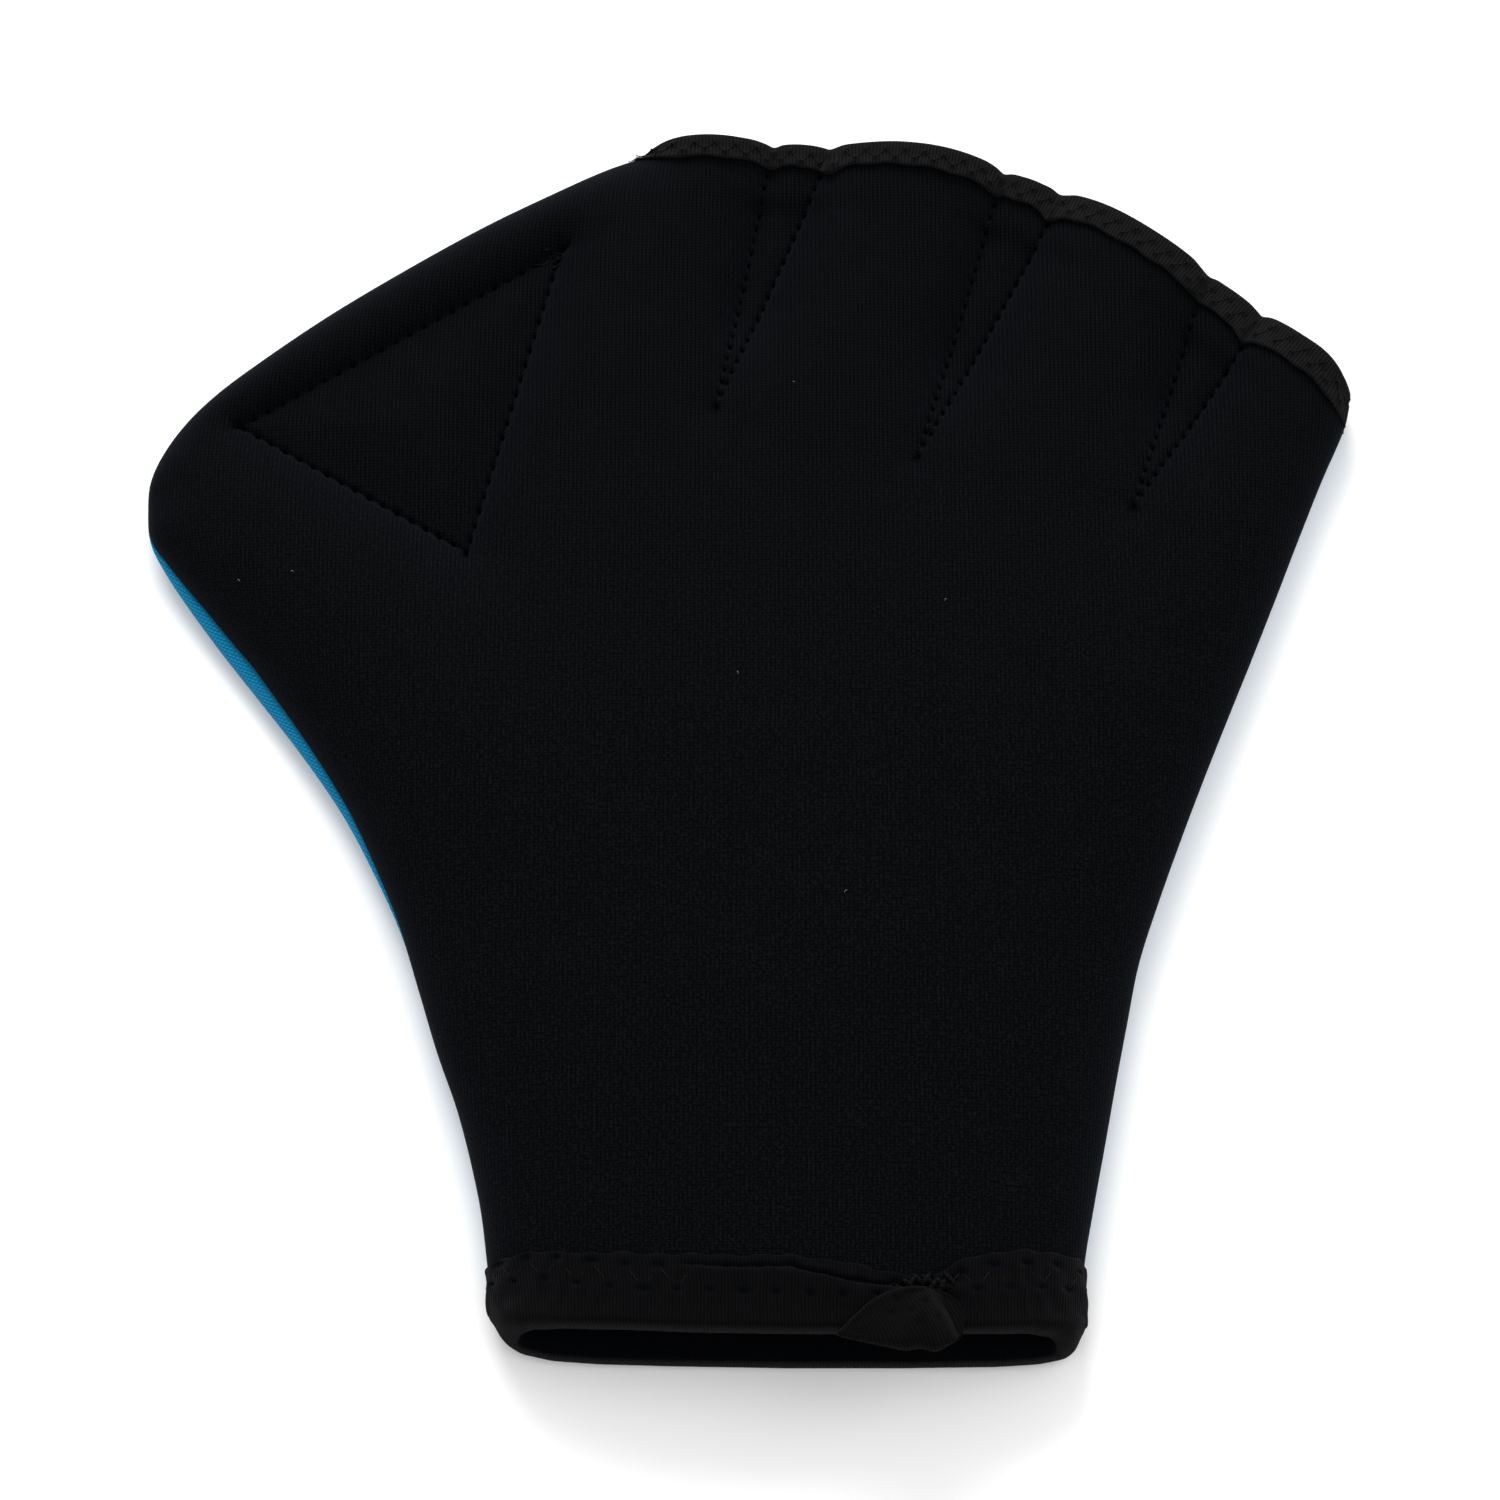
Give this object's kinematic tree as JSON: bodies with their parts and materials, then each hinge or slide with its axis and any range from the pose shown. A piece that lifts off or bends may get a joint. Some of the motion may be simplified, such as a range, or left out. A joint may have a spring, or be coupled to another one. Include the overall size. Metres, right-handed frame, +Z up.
{
  "type": "webbed swim glove",
  "caption": "Soft fingerless swim glove with sewn webs between the fingers and thumb, a closed thumb, and folded tape bound round the wrist and fingertip edges",
  "frame": {"origin": "under the middle of the glove, on the surface that its back lies on", "axes": "+Y towards the fingertips, +X towards the little finger side, +Z up out of the palm"},
  "size_m": [0.1912, 0.203, 0.0214],
  "materials": {
    "palm_sheet": "black knit jersey over foam rubber sheet, matt",
    "back_sheet": "blue knit jersey over foam rubber sheet, matt",
    "wrist_tape": "dark grey ribbed knit tape, matt",
    "tip_tape": "dark grey ribbed knit tape, matt"
  },
  "bodies": {
    "root": {"palm_panel": "palm_sheet", "back_panel": "back_sheet", "wrist_binding": "wrist_tape", "wrist_binding_lap": "wrist_tape", "palm_fingertip_binding": "tip_tape", "back_fingertip_binding": "tip_tape"}
  },
  "joints": []
}
